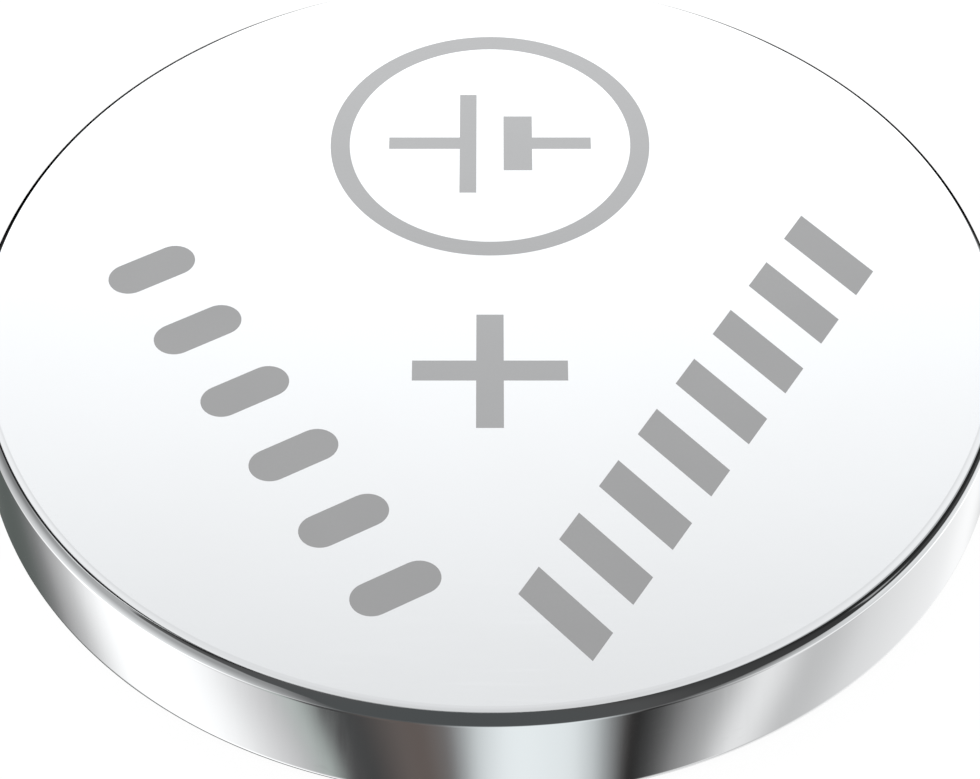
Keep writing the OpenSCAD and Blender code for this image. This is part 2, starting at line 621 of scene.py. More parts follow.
class Effects:
    """Builds each shared node group once, on its first use.

    The can's zones part at shares of the corner's radius, counted from the outside and from the top. A
    sharpness is 1 over the width, in millimetres, of the step between two zones. HAIR and PATCH are
    rates of noise per millimetre, each layer of hairs has a turn and a shift, and an edge is the noise
    at which a hair or a patch starts and at which it is full.
    """

    BAND_FROM = 0.57
    BAND_SHARPNESS = 120.0
    WALL_FROM = 0.89
    WALL_SHARPNESS = 27.0
    FLAT_SHARPNESS = 60.0
    HAIR = (0.35, 9.0, 9.0)
    HAIR_LAYERS = ((12, 3.0), (67, 11.0), (131, 23.0))
    HAIR_EDGE = (0.66, 0.74)
    PATCH = 0.35
    PATCH_EDGE = (0.4, 0.62)

    @staticmethod
    def group(effect: Effect) -> bpy.types.NodeTree:
        """Return the effect's node group."""
        found = bpy.data.node_groups.get(effect.value)
        return found or getattr(Effects, effect.value)(effect.value)

    @staticmethod
    def start(name: str, inputs: dict[str, float], outputs: Sequence[str]) -> tuple[Graph, bpy.types.Node]:
        """Start a group.

        Args:
            name: The group's name.
            inputs: Its inputs' names and first values.
            outputs: Its outputs' names.

        Returns:
            Its graph, and the node that its inputs come from.
        """
        tree = bpy.data.node_groups.new(name, "ShaderNodeTree")
        for label, value in inputs.items():
            made = tree.interface.new_socket(label, in_out="INPUT", socket_type="NodeSocketFloat")
            made.default_value = value
        for label in outputs:
            tree.interface.new_socket(label, in_out="OUTPUT", socket_type="NodeSocketFloat")
        graph = Graph(tree)
        return graph, tree.nodes.new("NodeGroupInput")

    @staticmethod
    def end(graph: Graph, results: dict[str, bpy.types.NodeSocket]) -> bpy.types.NodeTree:
        """Finish a group.

        Args:
            graph: The group's graph.
            results: The socket for each of its outputs.

        Returns:
            The group.
        """
        out = graph.tree.nodes.new("NodeGroupOutput")
        for name, socket in results.items():
            graph.tree.links.new(socket, out.inputs[name])
        return graph.tree

    @staticmethod
    def millimetres(graph: Graph) -> bpy.types.NodeSocket:
        """Return the place on the object, in millimetres."""
        place = graph.node("TexCoord").outputs["Object"]
        return graph.node("VectorMath", {0: place, "Scale": 1 / MM}, operation="SCALE").outputs[0]

    @staticmethod
    def cell_zones(name: str) -> bpy.types.NodeTree:
        """Build the masks that tell the plus face, its corner and the wall apart.

        Args:
            name: The group's name.

        Returns:
            The group.
        """
        graph, given = Effects.start(
            name, {"Radius": 10.0, "Height": 2.5, "Corner": 0.28}, ["Flat", "Face", "Band"]
        )
        parts = graph.node("SeparateXYZ", {0: Effects.millimetres(graph)}).outputs
        squares = [graph.math("MULTIPLY", part, part) for part in parts[:2]]
        across = graph.math("SQRT", graph.math("ADD", *squares))
        corner = given.outputs["Corner"]
        inside = graph.math("SUBTRACT", given.outputs["Radius"], across)
        past = graph.math("SUBTRACT", graph.math("MULTIPLY", corner, Effects.BAND_FROM), inside)
        past = graph.math("MULTIPLY", past, Effects.BAND_SHARPNESS, clamp=True)
        depth = graph.math("MULTIPLY", corner, Effects.WALL_FROM)
        above = graph.math("SUBTRACT", parts[2], graph.math("SUBTRACT", given.outputs["Height"], depth))
        above = graph.math("MULTIPLY", above, Effects.WALL_SHARPNESS, clamp=True)
        flat = graph.math("SUBTRACT", inside, corner)
        flat = graph.math("MULTIPLY", flat, Effects.FLAT_SHARPNESS, clamp=True)
        masks = {
            "Flat": graph.math("MULTIPLY", flat, above),
            "Face": graph.math("MULTIPLY", graph.math("SUBTRACT", 1.0, past), above),
            "Band": graph.math("MULTIPLY", past, above),
        }
        return Effects.end(graph, masks)

    @staticmethod
    def rolled_grain(name: str) -> bpy.types.NodeTree:
        """Build the fine straight grain of rolled sheet, along X."""
        return Effects.streaks(name, "Grain", 0, {"Detail": 3.0, "Roughness": 0.6})

    @staticmethod
    def drawn_lines(name: str) -> bpy.types.NodeTree:
        """Build the faint upright lines that a drawing die leaves round a wall."""
        return Effects.streaks(name, "Lines", 2, {"Detail": 2.0, "Roughness": 0.5})

    @staticmethod
    def streaks(name: str, output: str, along: int, noise: dict[str, float]) -> bpy.types.NodeTree:
        """Build noise that is drawn out along one axis.

        Args:
            name: The group's name.
            output: Its output's name.
            along: Number of the axis along which the streaks run.
            noise: The noise's own settings.

        Returns:
            The group.
        """
        graph, given = Effects.start(name, {"Pitch": 0.05, "Stretch": 30.0}, [output])
        parts = graph.node("SeparateXYZ", {0: Effects.millimetres(graph)}).outputs
        sizes = [given.outputs["Pitch"]] * 3
        sizes[along] = graph.math("MULTIPLY", given.outputs["Pitch"], given.outputs["Stretch"])
        place = {axis: graph.math("DIVIDE", parts[axis], sizes[axis]) for axis in range(3)}
        drawn_out = graph.node("CombineXYZ", place).outputs[0]
        made = graph.node("TexNoise", {"Vector": drawn_out, "Scale": 1.0, **noise})
        return Effects.end(graph, {output: made.outputs[0]})

    @staticmethod
    def fine_scuffs(name: str) -> bpy.types.NodeTree:
        """Build sparse hairline marks that lie in all directions.

        Args:
            name: The group's name.

        Returns:
            The group.
        """
        graph, given = Effects.start(name, {"Share": 0.5}, ["Scuffs"])
        place = Effects.millimetres(graph)
        layers = []
        for turn, shift in Effects.HAIR_LAYERS:
            turned = graph.node("Mapping", {
                "Vector": place,
                "Location": (shift, shift, 0),
                "Rotation": (0, 0, math.radians(turn)),
                "Scale": Effects.HAIR,
            }).outputs[0]
            noise = graph.node("TexNoise", {"Vector": turned, "Scale": 1.0, "Detail": 1.0}).outputs[0]
            layers.append(graph.ease(noise, *Effects.HAIR_EDGE))
        first = graph.math("MAXIMUM", layers[0], layers[1])
        hairs = graph.math("MAXIMUM", first, layers[2])
        patches = {"Vector": place, "Scale": Effects.PATCH, "Detail": 2.0}
        patches = graph.ease(graph.node("TexNoise", patches).outputs[0], *Effects.PATCH_EDGE)
        share = graph.math("MULTIPLY", patches, given.outputs["Share"])
        return Effects.end(graph, {"Scuffs": graph.math("MULTIPLY", hairs, share)})

    @staticmethod
    def soft_haze(name: str) -> bpy.types.NodeTree:
        """Build slow, cloudy variation.

        Args:
            name: The group's name.

        Returns:
            The group.
        """
        graph, given = Effects.start(name, {"Size": 3.0}, ["Haze"])
        place = Effects.millimetres(graph)
        rate = graph.math("DIVIDE", 1.0, given.outputs["Size"])
        noise = graph.node("TexNoise", {"Vector": place, "Scale": rate, "Detail": 3.0}).outputs[0]
        return Effects.end(graph, {"Haze": noise})


class Coat(Graph):
    """A material in the making, on one Principled shader."""

    def __init__(self, name: str) -> None:
        """Start a material.

        Args:
            name: The material's name.
        """
        self.made = bpy.data.materials.new(name)
        self.made.use_nodes = True
        super().__init__(self.made.node_tree)
        self.shader = self.node("BsdfPrincipled")
        out = self.node("OutputMaterial")
        self.tree.links.new(self.shader.outputs[0], out.inputs["Surface"])

    def effect(self, effect: Effect, **inputs: float) -> dict[str, bpy.types.NodeSocket]:
        """Place a shared effect.

        Args:
            effect: The effect.
            inputs: Values for its inputs, by name in small letters.

        Returns:
            Its outputs by name.
        """
        made = self.node("Group", node_tree=Effects.group(effect))
        for name, value in inputs.items():
            made.inputs[name.title()].default_value = value
        return {socket.name: socket for socket in made.outputs}

    def set(self, **inputs: Value) -> None:
        """Give the shader its inputs.

        Args:
            inputs: Values or sockets, by name with lines for spaces.
        """
        for label, value in inputs.items():
            socket = self.shader.inputs[label.replace("_", " ")]
            if isinstance(value, bpy.types.NodeSocket):
                self.tree.links.new(value, socket)
            else:
                socket.default_value = self.colour(value) if socket.type == "RGBA" else value

    def bump(self, height: Value, depth: float) -> None:
        """Raise the surface by a height from 0 to 1, times a depth in metres."""
        made = self.node("Bump", {"Height": height, "Distance": depth, "Strength": 1.0})
        self.tree.links.new(made.outputs[0], self.shader.inputs["Normal"])


# Finishes


@dataclass(frozen=True)
class Finish:
    """A surface finish: its material's name, and the tone of its clean surface.

    In every kind, roughness is the lowest and the highest, clouds is the haze at which a second tone
    starts and at which it is full, and depth is how deep the surface's relief is, in metres.
    """

    name: str
    tone: Colour

    def material(self) -> bpy.types.Material:
        """Build the material.

        Returns:
            The material.
        """
        coat = Coat(self.name)
        self.paint(coat)
        return coat.made

    def paint(self, coat: Coat) -> None:
        """Set the shader up, which each finish does in its own way.

        Args:
            coat: The material in the making.
        """
        raise NotImplementedError


@dataclass(frozen=True)
class Nickel(Finish):
    """Bright nickel plate on drawn steel: satin face, smooth wall, corner band of painted dark reflection.
    """

    name: str = "nickel_plate"
    tone: Colour = (0.83, 0.84, 0.85)
    # The corner band's darker base colour is painted dark reflection.
    band_painted_reflection: Colour = (0.412, 0.422, 0.429)
    stain: Colour = (0.72, 0.71, 0.69)
    stain_share: float = 0.05
    face_roughness: float = 0.15
    wall_roughness: float = 0.05
    texture_roughness: Span = (-0.02, 0.02)
    scuff_roughness: float = 0.12
    scuff_relief: float = 0.6
    face_metal: float = 0.78
    clouds: Span = (0.35, 0.75)
    depth: float = 0.0001 * MM

    def paint(self, coat: Coat) -> None:
        """Set the shader up by the can's zones.

        Args:
            coat: The material in the making.
        """
        zones = coat.effect(Effect.ZONES)
        grain = coat.effect(Effect.GRAIN, pitch=0.05, stretch=30.0)["Grain"]
        lines = coat.effect(Effect.LINES, pitch=0.12, stretch=12.0)["Lines"]
        scuffs = coat.effect(Effect.SCUFFS, share=0.15)["Scuffs"]
        haze = coat.effect(Effect.HAZE, size=3.5)["Haze"]
        face = zones["Face"]
        # The corner band takes the darker colour: painted dark reflection.
        tone = coat.blend(zones["Band"], self.tone, self.band_painted_reflection)
        stained = coat.math("MULTIPLY", coat.ease(haze, *self.clouds), self.stain_share)
        texture = coat.blend_number(face, lines, grain)
        rough = coat.blend_number(zones["Flat"], self.wall_roughness, self.face_roughness)
        rough = coat.math("ADD", rough, coat.scale(texture, *self.texture_roughness))
        rough = coat.math("ADD", rough, coat.math("MULTIPLY", scuffs, self.scuff_roughness))
        coat.set(
            Base_Color=coat.blend(stained, tone, self.stain),
            Roughness=rough,
            Metallic=coat.blend_number(face, 1.0, self.face_metal),
        )
        scuffed = coat.math("MULTIPLY", scuffs, self.scuff_relief)
        coat.bump(coat.math("SUBTRACT", texture, scuffed), self.depth)


@dataclass(frozen=True)
class CapSteel(Finish):
    """Satin nickel plate on the stepped cap, with straight grain and a few hairlines."""

    name: str = "satin_cap"
    tone: Colour = (0.76, 0.765, 0.77)
    dull: Colour = (0.68, 0.68, 0.67)
    roughness: Span = (0.19, 0.37)
    scuff_roughness: float = 0.15
    clouds: Span = (0.3, 0.8)
    depth: float = 0.0012 * MM

    def paint(self, coat: Coat) -> None:
        """Set the shader up with grain and hairlines.

        Args:
            coat: The material in the making.
        """
        grain = coat.effect(Effect.GRAIN, pitch=0.035, stretch=60.0)["Grain"]
        scuffs = coat.effect(Effect.SCUFFS, share=0.9)["Scuffs"]
        haze = coat.effect(Effect.HAZE, size=2.2)["Haze"]
        scuffed = coat.math("MULTIPLY", scuffs, self.scuff_roughness)
        coat.set(
            Base_Color=coat.blend(coat.ease(haze, *self.clouds), self.tone, self.dull),
            Roughness=coat.math("ADD", coat.scale(grain, *self.roughness), scuffed),
            Metallic=1.0,
        )
        coat.bump(coat.math("SUBTRACT", grain, scuffs), self.depth)


@dataclass(frozen=True)
class Plastic(Finish):
    """Natural polypropylene: milky, faintly warm, with a soft skin."""

    name: str = "natural_polypropylene"
    tone: Colour = (0.80, 0.78, 0.70)
    warm: Colour = (0.74, 0.71, 0.62)
    roughness: Span = (0.35, 0.55)
    clouds: Span = (0.3, 0.75)
    depth: float = 0.002 * MM

    def paint(self, coat: Coat) -> None:
        """Set the shader up with light that soaks in.

        Args:
            coat: The material in the making.
        """
        haze = coat.effect(Effect.HAZE, size=0.8)["Haze"]
        grain = coat.effect(Effect.HAZE, size=0.06)["Haze"]
        coat.set(
            Base_Color=coat.blend(coat.ease(haze, *self.clouds), self.tone, self.warm),
            Roughness=coat.scale(grain, *self.roughness),
            Subsurface_Weight=0.35,
            Subsurface_Radius=(0.9, 0.8, 0.6),
            Subsurface_Scale=0.25 * MM,
            IOR=1.49,
        )
        coat.bump(grain, self.depth)


@dataclass(frozen=True)
class Ink(Finish):
    """Grey satin print, thin enough for the metal's shine to carry through."""

    name: str = "satin_print"
    tone: Colour = (0.365, 0.366, 0.368)
    metal: float = 0.66
    worn: Colour = (0.42, 0.42, 0.42)
    worn_share: float = 0.25
    roughness: Span = (0.10, 0.20)
    clouds: Span = (0.35, 0.75)
    depth: float = 0.0002 * MM

    def paint(self, coat: Coat) -> None:
        """Set the shader up with wear in patches.

        Args:
            coat: The material in the making.
        """
        grain = coat.effect(Effect.GRAIN, pitch=0.05, stretch=30.0)["Grain"]
        speckle = coat.effect(Effect.HAZE, size=0.05)["Haze"]
        haze = coat.effect(Effect.HAZE, size=2.5)["Haze"]
        worn = coat.math("MULTIPLY", coat.ease(haze, *self.clouds), speckle)
        coat.set(
            Base_Color=coat.blend(coat.math("MULTIPLY", worn, self.worn_share), self.tone, self.worn),
            Roughness=coat.scale(speckle, *self.roughness),
            Metallic=self.metal,
        )
        coat.bump(coat.math("ADD", grain, speckle), self.depth)


@dataclass(frozen=True)
class Cloth(Finish):
    """Non-woven polypropylene cloth, a felt of white fibres."""

    name: str = "nonwoven_cloth"
    tone: Colour = (0.86, 0.86, 0.83)
    # The darker colour in the felt's low spots is painted shade.
    hollow_painted_shade: Colour = (0.74, 0.74, 0.70)
    roughness: Span = (0.75, 0.95)
    depth: float = 0.02 * MM

    def paint(self, coat: Coat) -> None:
        """Set the shader up with fibres, and painted shade in the hollows.

        Args:
            coat: The material in the making.
        """
        fibres = coat.effect(Effect.SCUFFS, share=1.0)["Scuffs"]
        fluff = coat.effect(Effect.HAZE, size=0.12)["Haze"]
        # Darker where the fluff is low: painted shade in the hollows.
        tone = coat.blend(fluff, self.hollow_painted_shade, self.tone)
        coat.set(Base_Color=tone, Roughness=coat.scale(fluff, *self.roughness), Sheen_Weight=0.2)
        coat.bump(coat.math("ADD", fibres, fluff), self.depth)


@dataclass(frozen=True)
class Lithium(Finish):
    """Soft lithium foil: silver grey, dulled in clouds, with smears from the roller."""

    name: str = "lithium_foil"
    tone: Colour = (0.62, 0.63, 0.66)
    tarnish: Colour = (0.40, 0.40, 0.43)
    roughness: Span = (0.3, 0.6)
    metal: Span = (1.0, 0.8)
    clouds: Span = (0.4, 0.7)
    depth: float = 0.008 * MM

    def paint(self, coat: Coat) -> None:
        """Set the shader up with tarnish in clouds.

        Args:
            coat: The material in the making.
        """
        smear = coat.effect(Effect.GRAIN, pitch=0.3, stretch=12.0)["Grain"]
        haze = coat.effect(Effect.HAZE, size=1.8)["Haze"]
        coat.set(
            Base_Color=coat.blend(coat.ease(haze, *self.clouds), self.tone, self.tarnish),
            Roughness=coat.scale(haze, *self.roughness),
            Metallic=coat.scale(haze, *self.metal),
        )
        coat.bump(smear, self.depth)


@dataclass(frozen=True)
class Tablet(Finish):
    """Pressed manganese dioxide and carbon: near black, grainy, with pale specks."""

    name: str = "pressed_powder"
    tone: Colour = (0.022, 0.021, 0.022)
    speck: Colour = (0.12, 0.12, 0.125)
    roughness: Span = (0.7, 0.9)
    clouds: Span = (0.6, 0.8)
    depth: float = 0.02 * MM

    def paint(self, coat: Coat) -> None:
        """Set the shader up with pale specks.

        Args:
            coat: The material in the making.
        """
        grain = coat.effect(Effect.HAZE, size=0.09)["Haze"]
        haze = coat.effect(Effect.HAZE, size=1.4)["Haze"]
        tone = coat.blend(coat.ease(grain, *self.clouds), self.tone, self.speck)
        coat.set(Base_Color=tone, Roughness=coat.scale(haze, *self.roughness))
        coat.bump(grain, self.depth)


@dataclass(frozen=True)
class InnerSteel(Finish):
    """Bare stainless sheet inside the cell, greyed by the tablet's dust."""

    name: str = "inner_stainless"
    tone: Colour = (0.62, 0.61, 0.59)
    dust: Colour = (0.30, 0.29, 0.28)
    roughness: Span = (0.25, 0.45)
    clouds: Span = (0.4, 0.75)
    depth: float = 0.001 * MM

    def paint(self, coat: Coat) -> None:
        """Set the shader up with dust in patches.

        Args:
            coat: The material in the making.
        """
        grain = coat.effect(Effect.GRAIN, pitch=0.04, stretch=25.0)["Grain"]
        haze = coat.effect(Effect.HAZE, size=0.9)["Haze"]
        tone = coat.blend(coat.ease(haze, *self.clouds), self.tone, self.dust)
        coat.set(Base_Color=tone, Roughness=coat.scale(grain, *self.roughness), Metallic=1.0)
        coat.bump(grain, self.depth)


# The cell


@dataclass
class PositiveCan:
    """The drawn can: plus face, corner, wall and crimped lip, with the printed marks let into the face."""

    sheet: float = 0.20 * MM
    corner: float = 0.08 * MM
    lip_bend: float = 0.05 * MM
    lip_r: float = 8.55 * MM
    lip_slope: float = 4.0
    lip_setback: float = 0.06 * MM
    printed: Print = field(default_factory=Print)

    def __post_init__(self) -> None:
        """Take the outside sizes from the frame, and work out the bend."""
        low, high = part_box("positive_can")
        self.radius = round(high.x, 6)
        self.top = round(high.z, 6)
        self.flat_r = self.radius - self.sheet - self.corner
        self.bend = (
            self.radius - self.sheet - self.lip_bend,
            self.lip_setback + self.sheet + self.lip_bend,
        )

    def cut_z(self, radius: float) -> float:
        """Return the height at which the lip's face of that bend radius meets the cut edge."""
        slope = math.radians(self.lip_slope)
        return self.bend[1] - radius / math.cos(slope) + (self.bend[0] - self.lip_r) * math.tan(slope)

    def section(self) -> list[Run]:
        """Outline the metal, from the inside of the face round to the edge of the plus face.

        Returns:
            The half section's runs.
        """
        wall = self.radius - self.sheet
        turned = -90 - self.lip_slope
        corner = (self.flat_r, self.top - self.sheet - self.corner)
        outer_bend = self.sheet + self.lip_bend
        return joined([
            (0, self.top - self.sheet),
            arc(corner, self.corner, 90, 0, steps=6),
            (wall, self.bend[1]),
            arc(self.bend, self.lip_bend, 0, turned, steps=8),
            (self.lip_r, self.cut_z(self.lip_bend)),
            (self.lip_r, self.cut_z(outer_bend)),
            arc(self.bend, outer_bend, turned, 0, steps=20),
            arc(corner, self.sheet + self.corner, 0, 90, steps=24),
        ])

    def build(self) -> list[bpy.types.Object]:
        """Build the can and its marks.

        Returns:
            The can first, then one piece for each mark.
        """
        marks = self.printed.marks()
        face = Face(self.flat_r, marks)
        under = self.top - self.printed.film
        can = Draft()
        can.turn(self.section())
        can.sheet(face.parts[None], self.top, 1)
        pieces = []
        for mark in marks:
            edges = face.edges(mark.name)
            can.sheet(face.parts[mark.name], under, 1)
            can.skirt([(end, start) for start, end in edges], under, self.top)
            film = Draft()
            film.sheet(face.parts[mark.name], self.top, 1)
            film.sheet(face.parts[mark.name], under, -1)
            film.skirt(edges, under, self.top)
            pieces.append(film.piece(mark.name))
        made = can.piece("drawn_can")
        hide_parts("positive_can")
        return [made, *pieces]

    def dress(self, pieces: Sequence[bpy.types.Object]) -> None:
        """Give the can its nickel, the bars a matt print, and the other marks a satin one.

        Args:
            pieces: The can, then its marks.
        """
        pieces[0].data.materials.append(Nickel().material())
        satin = Ink().material()
        matt = Ink(name="matt_print", tone=(0.33, 0.331, 0.333), metal=0.25).material()
        for mark in pieces[1:]:
            mark.data.materials.append(matt if mark.name.endswith("bars") else satin)


@dataclass
class NegativeCap:
    """The stepped cap: terminal, step, shoulder and skirt."""

    sheet: float = 0.20 * MM
    bend: float = 0.10 * MM
    step_r: float = 8.05 * MM
    step_h: float = 0.50 * MM
    end_z: float = 2.0 * MM

    def __post_init__(self) -> None:
        """Take the skirt's radius from the frame."""
        self.skirt_r = round(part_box("negative_cap")[1].x, 6)

    def section(self) -> list[Run]:
        """Outline the metal, from the terminal's middle out to the skirt and back inside.

        Returns:
            The half section's runs.
        """
        outer = self.bend + self.sheet
        toe = (self.step_r - outer, outer)
        fillet = (self.step_r + self.bend, self.step_h - self.bend)
        heel = (self.skirt_r - outer, self.step_h + outer)
        inside = self.skirt_r - self.sheet
        return joined([
            (0, 0),
            arc(toe, outer, -90, 0),
            arc(fillet, self.bend, 180, 90),
            arc(heel, outer, -90, 0),
            (self.skirt_r, self.end_z),
            (inside, self.end_z),
            arc(heel, self.bend, 0, -90, steps=6),
            arc(fillet, outer, 90, 180),
            arc(toe, self.bend, 0, -90, steps=6),
            (0, self.sheet),
        ])

    def build(self) -> bpy.types.Object:
        """Build the cap.

        Returns:
            The cap.
        """
        cap = Draft()
        cap.turn(self.section())
        made = cap.piece("stepped_cap")
        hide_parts("negative_cap")
        return made

    def dress(self, piece: bpy.types.Object) -> None:
        """Give the cap its satin finish."""
        piece.data.materials.append(CapSteel().material())


@dataclass
class SealingGasket:
    """The moulded ring between can and cap: bead, foot, outer wall, web and inner lip."""

    can: PositiveCan
    cap: NegativeCap
    bead: float = 0.36 * MM
    bead_edge: float = 0.15 * MM
    bead_setback: float = 0.04 * MM
    lip: float = 0.30 * MM
    lip_h: float = 0.80 * MM

    def section(self) -> list[Run]:
        """Outline the plastic, from the bead round outside and back through the cap's seat.

        Returns:
            The closed half section's runs.
        """
        can, cap = self.can, self.cap
        bead_r = can.lip_r - self.bead
        bead_z = can.cut_z(can.sheet + can.lip_bend) + self.bead_setback
        top = can.top - can.sheet
        skirt_in = cap.skirt_r - cap.sheet
        outer = cap.bend + cap.sheet
        corner = (can.flat_r, top - can.corner)
        return joined([
            (bead_r, cap.step_h),
            arc((bead_r + self.bead_edge, bead_z + self.bead_edge), self.bead_edge, 180, 270, steps=8),
            (can.lip_r, bead_z),
            (can.lip_r, can.cut_z(can.lip_bend)),
            arc(can.bend, can.lip_bend, -90 - can.lip_slope, 0, steps=8),
            arc(corner, can.corner, 0, 90, steps=6),
            (skirt_in - self.lip, top),
            (skirt_in - self.lip, top - self.lip_h),
            (skirt_in, top - self.lip_h),
            (skirt_in, cap.end_z),
            (cap.skirt_r, cap.end_z),
            arc((cap.skirt_r - outer, cap.step_h + outer), outer, 0, -90),
            (bead_r, cap.step_h),
        ])

    def build(self) -> bpy.types.Object:
        """Build the gasket.

        Returns:
            The gasket.
        """
        ring = Draft()
        ring.turn(self.section())
        made = ring.piece("moulded_gasket")
        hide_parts("sealing_gasket")
        return made

    def dress(self, piece: bpy.types.Object) -> None:
        """Give the gasket its plastic."""
        piece.data.materials.append(Plastic().material())


@dataclass
class InnerStack:
    """The sealed-in pieces, which stay as the frame has them and only get their finishes."""

    finishes: dict[str, Finish] = field(default_factory=lambda: {
        "separator": Cloth(),
        "lithium_anode": Lithium(),
        "cathode_pellet": Tablet(),
        "cathode_ring": InnerSteel(),
        "collector_mesh": InnerSteel(name="inner_mesh", tone=(0.55, 0.54, 0.52)),
    })

    def dress(self, nodes: dict[str, bpy.types.Object]) -> None:
        """Give each node its finish.

        Args:
            nodes: The frame's nodes by name.
        """
        for name, finish in self.finishes.items():
            slots = nodes[name].material_slots
            material = finish.material()
            for place in slots:
                place.material = material
            if not slots:
                nodes[name].data.materials.append(material)
            log.info("%s: dressed in %s", name, material.name)


# The studio


class Tint(Enum):
    """Colour casts of the studio's cards."""

    PLAIN = (1.0, 1.0, 1.0)
    COOL = (0.95, 1.0, 1.01)
    WARM = (1.12, 0.96, 0.90)
    GREEN = (0.94, 1.02, 0.98)


@dataclass(frozen=True)
class Stop:
    """Brightness of a belt of the studio at one azimuth, in degrees."""

    azimuth: float
    level: float
    tint: Tint = Tint.PLAIN

    def entry(self) -> tuple[float, Colour]:
        """Return the stop's place on a ramp, and half its colour, as a ramp ends at 1."""
        return ((self.azimuth + 180) / 360, tuple(0.5 * self.level * part for part in self.tint.value))


@dataclass(frozen=True)
class Stretch:
    """A stretch of a measure, which fades in between two values and out between two others."""

    fade_in: Span
    fade_out: Span

    def mask(self, graph: Graph, value: Value) -> bpy.types.NodeSocket:
        """Return 1 inside the stretch and 0 outside."""
        return graph.math("SUBTRACT", graph.ease(value, *self.fade_in), graph.ease(value, *self.fade_out))


@dataclass(frozen=True)
class Way:
    """The direction in which a ray goes.

    x and y are its parts to the right and away from the camera. Azimuth and height are in degrees.
    Nearness is about 1 at the dome's middle, and less all round it.
    """

    x: Value
    y: Value
    azimuth: Value
    height: Value
    nearness: Value


@dataclass(frozen=True)
class Room:
    """What is under the dome: cards on the table, cards on the walls up to a skyline, and the dark above.

    Each belt holds its brightness round the cell. The wall of the cell mirrors the table along a line
    that is lowest in front. The table's cards lean together below that line and apart above it.
    """

    table: tuple[Stop, ...] = (
        Stop(-180, 0.25), Stop(-162, 0.155, Tint.GREEN), Stop(-131, 0.145, Tint.GREEN), Stop(-118, 0.34),
        Stop(-105, 0.75), Stop(-92, 1.25), Stop(-73, 1.25), Stop(-60, 0.98), Stop(-46, 0.59),
        Stop(-41.5, 0.53, Tint.GREEN), Stop(-38.3, 0.37, Tint.GREEN), Stop(-35, 0.12), Stop(-32, 0.082),
        Stop(-28, 0.068), Stop(-20, 0.12, Tint.WARM), Stop(-13, 0.135, Tint.WARM), Stop(-8, 0.25),
        Stop(-3.4, 0.64, Tint.COOL), Stop(3, 0.94, Tint.COOL), Stop(13, 0.96, Tint.COOL),
        Stop(20, 0.85, Tint.COOL), Stop(25, 0.53, Tint.COOL), Stop(30, 0.14), Stop(34.5, 0.04),
        Stop(43.4, 0.245), Stop(53, 0.55), Stop(61.5, 0.93), Stop(74, 0.61), Stop(92, 0.79),
        Stop(124, 0.97), Stop(148, 1.0), Stop(180, 0.25),
    )
    low: tuple[Stop, ...] = (
        Stop(-180, 0.06), Stop(-143, 0.045), Stop(-133, 0.60), Stop(-120, 1.05), Stop(-104, 1.45),
        Stop(-85, 1.95), Stop(-60, 1.85), Stop(-48, 1.40), Stop(-36, 0.62), Stop(-28, 0.19, Tint.COOL),
        Stop(22, 0.19, Tint.COOL), Stop(30, 0.20), Stop(38, 0.31), Stop(47, 0.70), Stop(57, 1.15),
        Stop(72, 1.40), Stop(90, 1.45), Stop(113, 1.70), Stop(135, 1.40), Stop(145, 0.075), Stop(180, 0.06),
    )
    middle: tuple[Stop, ...] = (
        Stop(-180, 0.06), Stop(-143, 0.045), Stop(-133, 1.0), Stop(-122, 0.62), Stop(-108, 0.48),
        Stop(-100, 0.62), Stop(-90, 0.80), Stop(-80, 0.92), Stop(-54, 0.74), Stop(-40, 0.56),
        Stop(-30, 0.18), Stop(44, 0.18), Stop(54, 0.29), Stop(64, 1.10), Stop(77, 2.0), Stop(102, 1.85),
        Stop(135, 1.48), Stop(145, 0.075), Stop(180, 0.06),
    )
    dark: tuple[Stop, ...] = (
        Stop(-180, 0.05), Stop(-140, 0.045), Stop(-90, 0.18), Stop(-60, 0.185), Stop(-25, 0.178, Tint.COOL),
        Stop(15, 0.175, Tint.COOL), Stop(30, 0.163), Stop(42, 0.126), Stop(60, 0.098), Stop(78, 0.089),
        Stop(100, 0.126), Stop(120, 0.126), Stop(140, 0.06), Stop(180, 0.05),
    )
    skyline: tuple[Span, ...] = (
        (-180, 60), (-85, 60), (-80, 39), (-75, 31), (-67, 34), (-59, 35), (-52, 33), (-46, 27), (-40, 24),
        (-33, 9), (-28, -25), (-24, -75),
        (22, -75), (28, -29), (36, -20), (46, -8), (52, 0.5), (77, 2.5), (99, -4), (115, -9), (128, -9),
        (134, 60), (180, 60),
    )
    skyline_blur: Span = (-3, 3)
    card_heights: Span = (-30, 15)
    table_edge: Span = (-36, -29)
    table_drop: float = 12.0
    drop_from: Span = (20, 120)
    foot: Span = (-88, -80)
    foot_level: float = 0.3
    seen_low: float = -52.3
    seen_curve: float = 26.8 / 360**2
    lean: float = 9.0
    lean_limits: Span = (-0.5, 0.6)
    left_lean: Span = (-45, 0)
    right_lean: Span = (28, 62)

    def belt(self, graph: Graph, azimuth: Value, stops: Sequence[Stop]) -> bpy.types.NodeSocket:
        """Read a belt of the room.

        Args:
            graph: The world's nodes.
            azimuth: Where it is read, in degrees.
            stops: The belt's stops.

        Returns:
            The belt's colour there.
        """
        entries = [stop.entry() for stop in stops]
        half = graph.ramp(graph.scale(azimuth, 0.0, 1.0, -180, 180), entries, "CARDINAL")
        return graph.node("VectorMath", {0: half, "Scale": 2.0}, operation="SCALE").outputs[0]

    def over_skyline(self, graph: Graph, way: Way) -> bpy.types.NodeSocket:
        """Measure a direction from the skyline.

        Args:
            graph: The world's nodes.
            way: The direction.

        Returns:
            How many degrees it is above the skyline.
        """
        outline = [((at + 180) / 360, grey((rise + 90) / 180)) for at, rise in self.skyline]
        outline = graph.ramp(graph.scale(way.azimuth, 0.0, 1.0, -180, 180), outline, "LINEAR")
        return graph.math("SUBTRACT", way.height, graph.scale(outline, -90, 90))

